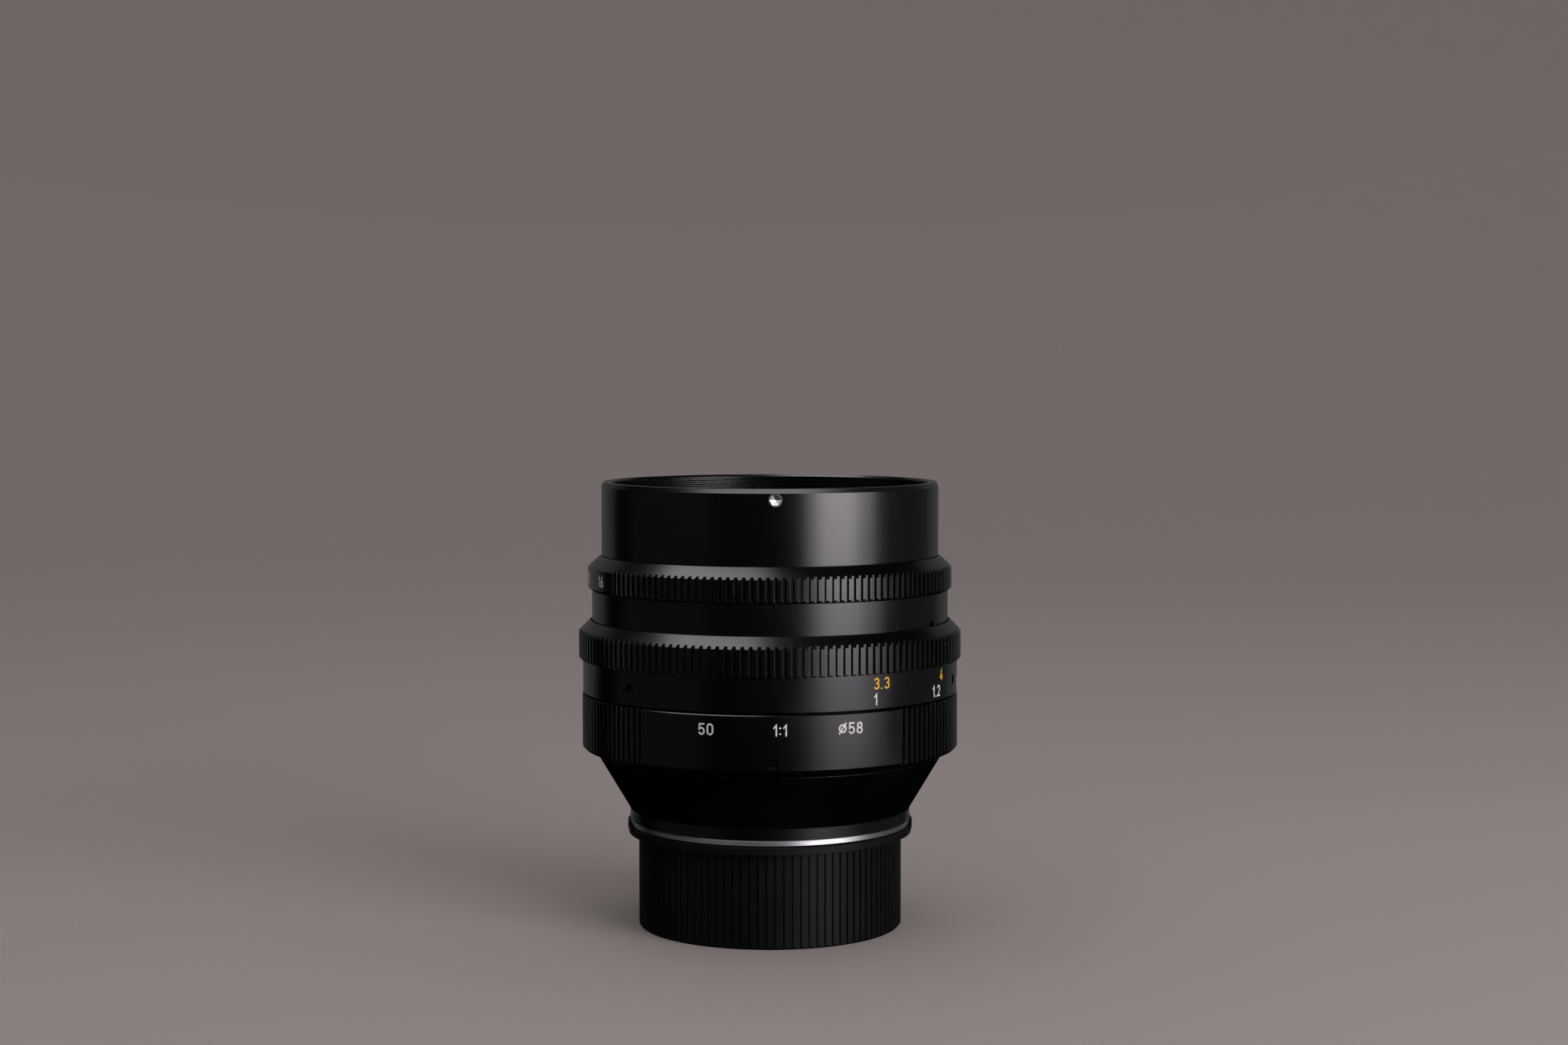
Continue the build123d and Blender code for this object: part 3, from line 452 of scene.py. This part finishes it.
# distances: the ring's turn from infinity follows the helicoid, and the smallest distance is at its end stop
INFINITY_AZ = 180.0
NEAREST_MM = 1000.0
FOCUS_OFFSET_MM = 105.0


def distance_azimuth(distance_mm):
    share = (NEAREST_MM - FOCUS_OFFSET_MM) / (distance_mm - FOCUS_OFFSET_MM)
    return INFINITY_AZ - FOCUS_THROW * share


scale_r = radius_of("distance_scale_ring")
scale_low, scale_high = span_of("distance_scale_ring")
# each figure with its distance in millimetres
feet = [("3.3", 1006), ("4", 1219), ("5", 1524), ("7", 2134), ("10", 3048), ("15", 4572), ("30", 9144)]
metres = [("1", 1000), ("1.2", 1200), ("1.5", 1500), ("2", 2000), ("3", 3000), ("5", 5000), ("10", 10000)]
ENDLESS = ("\N{INFINITY}", INFINITY_AZ)
FEET_SHIFT = 1.2
feet_row = [(text, distance_azimuth(distance) + FEET_SHIFT) for text, distance in feet] + [ENDLESS]
metre_row = [(text, distance_azimuth(distance)) for text, distance in metres] + [ENDLESS]
figure_ring("feet_figures", "focus", "yellow_figures", scale_r, scale_high - 1.63 * MM, feet_row)
figure_ring("metre_figures", "focus", "white_figures", scale_r, scale_low + 1.72 * MM, metre_row)

# stops: one figure every click pair, on the smooth band of the aperture ring
aperture_r = radius_of("aperture_ring")
aperture_low = span_of("aperture_ring")[0]
stops = ["1", "1.4", "2", "2.8", "4", "5.6", "8", "11", "16"]
stop_step = APERTURE_THROW / (len(stops) - 1)
stop_row = [(text, INFINITY_AZ + stop_step * i) for i, text in enumerate(stops)]
figure_ring("stop_figures", "aperture", "white_figures", aperture_r, aperture_low + 2.05 * MM, stop_row)

# the front panel of the index ring: the focal length, the widest stop and the filter size
index_r = radius_of("index_ring")
index_low, index_high = span_of("index_ring")
panel_z = index_low + 7.37 * MM
panel = [("50", -20.5), ("1:1", 1.1), ("\N{DIAMETER SIGN}58", 22.0)]
figure_ring("panel_figures", "barrel", "white_figures", index_r, panel_z, panel)

# depth of field: a mark and a figure each side of the index for every second stop
FIELD_STEP = 1.65
field = [2, 4, 8, 16]
field_figures = []
for stop in field[1:]:
    for side in (-1, 1):
        field_figures.append((str(stop), INFINITY_AZ + side * FIELD_STEP * stop))
figure_ring("field_figures", "barrel", "white_figures", index_r, index_high - 4.4 * MM, field_figures)
marks = Engraving(THIN_PEN)
for stop in field:
    for side in (-1, 1):
        azimuth = INFINITY_AZ + side * FIELD_STEP * stop
        tick = [(0, -0.9 * MM), (0, 0.9 * MM)]
        marks.stroke(tick, lambda x, y, lift: on_barrel(index_r, azimuth, index_high - 1.5 * MM, lift, x, y))
index_line = [(0, -2.2 * MM), (0, 1.1 * MM)]
index_z = index_high - 1.6 * MM
marks.stroke(index_line, lambda x, y, lift: on_barrel(index_r, INFINITY_AZ, index_z, lift, x, y))
marks.finish("field_marks", "barrel", "white_figures")

head_r = radius_of("head_barrel")
stop_mark = Engraving(MARK_PEN)
stop_line = [(0, -1.0 * MM), (0, 1.0 * MM)]
stop_z = aperture_low - 1.7 * MM
stop_mark.stroke(stop_line, lambda x, y, lift: on_barrel(head_r, INFINITY_AZ, stop_z, lift, x, y))
stop_mark.finish("stop_mark", "head", "white_figures")

# ---------------------------------------------------------------- studio
FLOOR_R = 3.2
WALL_CURVE = 2.4
WALL_TOP = 3.4
CURVE_STEPS = 24


def cyclorama():
    """A pale floor that curves up into a round wall, so that no horizon shows from any side."""
    profile = [(r, 0.0) for r in (0.0, 0.15, 0.4, FLOOR_R - WALL_CURVE)]
    for i in range(1, CURVE_STEPS + 1):
        angle = radians(90 * i / CURVE_STEPS)
        profile.append((FLOOR_R - WALL_CURVE + WALL_CURVE * sin(angle), WALL_CURVE - WALL_CURVE * cos(angle)))
    profile.append((FLOOR_R, WALL_TOP))
    mesh = bmesh.new()
    points = [mesh.verts.new((r, 0, z)) for r, z in profile]
    edges = [mesh.edges.new(pair) for pair in zip(points, points[1:])]
    bmesh.ops.spin(mesh, geom=points + edges, cent=(0, 0, 0), axis=(0, 0, 1), angle=2 * pi, steps=96)
    bmesh.ops.remove_doubles(mesh, verts=mesh.verts, dist=1e-5)
    bmesh.ops.recalc_face_normals(mesh, faces=mesh.faces)
    data = bpy.data.meshes.new("floor")
    mesh.to_mesh(data)
    mesh.free()
    for face in data.polygons:
        face.use_smooth = True
    floor = bpy.data.objects.new("floor", data)
    bpy.context.scene.collection.objects.link(floor)
    look = Look("pale_floor", (0.59, 0.525, 0.516))
    tooth = look.noise(look.position(), 1400.0, 3.0, 0.6)
    look.set("Roughness", look.math("MULTIPLY_ADD", tooth, 0.1, 0.75))
    look.set("Normal", look.bump(tooth, 0.08, 0.05 * MM))
    data.materials.append(look.material)
    floor.visible_glossy = False


def softbox(name, azimuth, elevation, distance, width, height, radiance, color=(1, 1, 1), seen_by="both"):
    """An area light that faces the lens. It is seen by matt surfaces, by gloss, or by both."""
    aim = Vector((0, 0, lens_top / 2))
    a = radians(azimuth)
    e = radians(elevation)
    away = Vector((sin(a) * cos(e), -cos(a) * cos(e), sin(e)))
    data = bpy.data.lights.new(name, "AREA")
    data.shape = "RECTANGLE"
    data.size = width
    data.size_y = height
    data.energy = radiance * pi * width * height
    data.color = color
    light = bpy.data.objects.new(name, data)
    bpy.context.scene.collection.objects.link(light)
    light.location = aim + away * distance
    light.rotation_mode = "QUATERNION"
    light.rotation_quaternion = away.to_track_quat("Z", "Y")
    light.visible_camera = False
    light.visible_glossy = seen_by != "matt"
    light.visible_diffuse = seen_by != "gloss"


bpy.context.scene.view_settings.view_transform = "Standard"
cyclorama()
# name, azimuth, elevation, distance, width, height, radiance. The key is the bright band down the right of
# the lens, softened by key_edge. The top lights the cones, and the brow the rim.
softbox("key", 44, 11, 0.85, 0.42, 0.44, 3.4, (1.0, 0.94, 1.0), seen_by="gloss")
softbox("key_edge", 47, 11, 0.85, 0.78, 0.44, 2.8, (1.0, 0.94, 1.0), seen_by="gloss")
softbox("key_fill", 44, 11, 0.85, 0.60, 0.44, 5.0, seen_by="matt")
softbox("top", -112, 72.5, 0.95, 1.00, 0.60, 2.7, seen_by="gloss")
softbox("brow", -5, 47, 1.20, 2.40, 0.30, 3.3, seen_by="gloss")
softbox("left", -75, 5, 1.60, 2.20, 1.60, 0.04, seen_by="gloss")
softbox("right", 105, 8, 1.40, 1.40, 1.40, 0.055, seen_by="gloss")
softbox("rear", 180, 12, 1.80, 4.00, 1.60, 0.12, seen_by="gloss")
softbox("wash", 0, 50, 2.4, 3.0, 2.0, 0.25, seen_by="matt")

world = bpy.data.worlds.new("studio")
bpy.context.scene.world = world
world.use_nodes = True
world.node_tree.nodes["Background"].inputs["Color"].default_value = (0.80, 0.79, 0.78, 1)
world.node_tree.nodes["Background"].inputs["Strength"].default_value = 0.42
world.cycles_visibility.glossy = False

# the camera's place in metres, its angles in degrees and its focal length in millimetres
CAMERA_AT = (-0.014428, -0.462862, 0.10125)
LOOKS_DOWN = 3.513
TURNS_RIGHT = 2.1
FOCAL_LENGTH = 58.94
camera_data = bpy.data.cameras.new("camera")
camera_data.lens = FOCAL_LENGTH
camera_data.sensor_width = 36.0
camera = bpy.data.objects.new("camera", camera_data)
bpy.context.scene.collection.objects.link(camera)
camera.location = CAMERA_AT
camera.rotation_euler = (radians(90 - LOOKS_DOWN), 0, radians(-TURNS_RIGHT))
bpy.context.scene.camera = camera
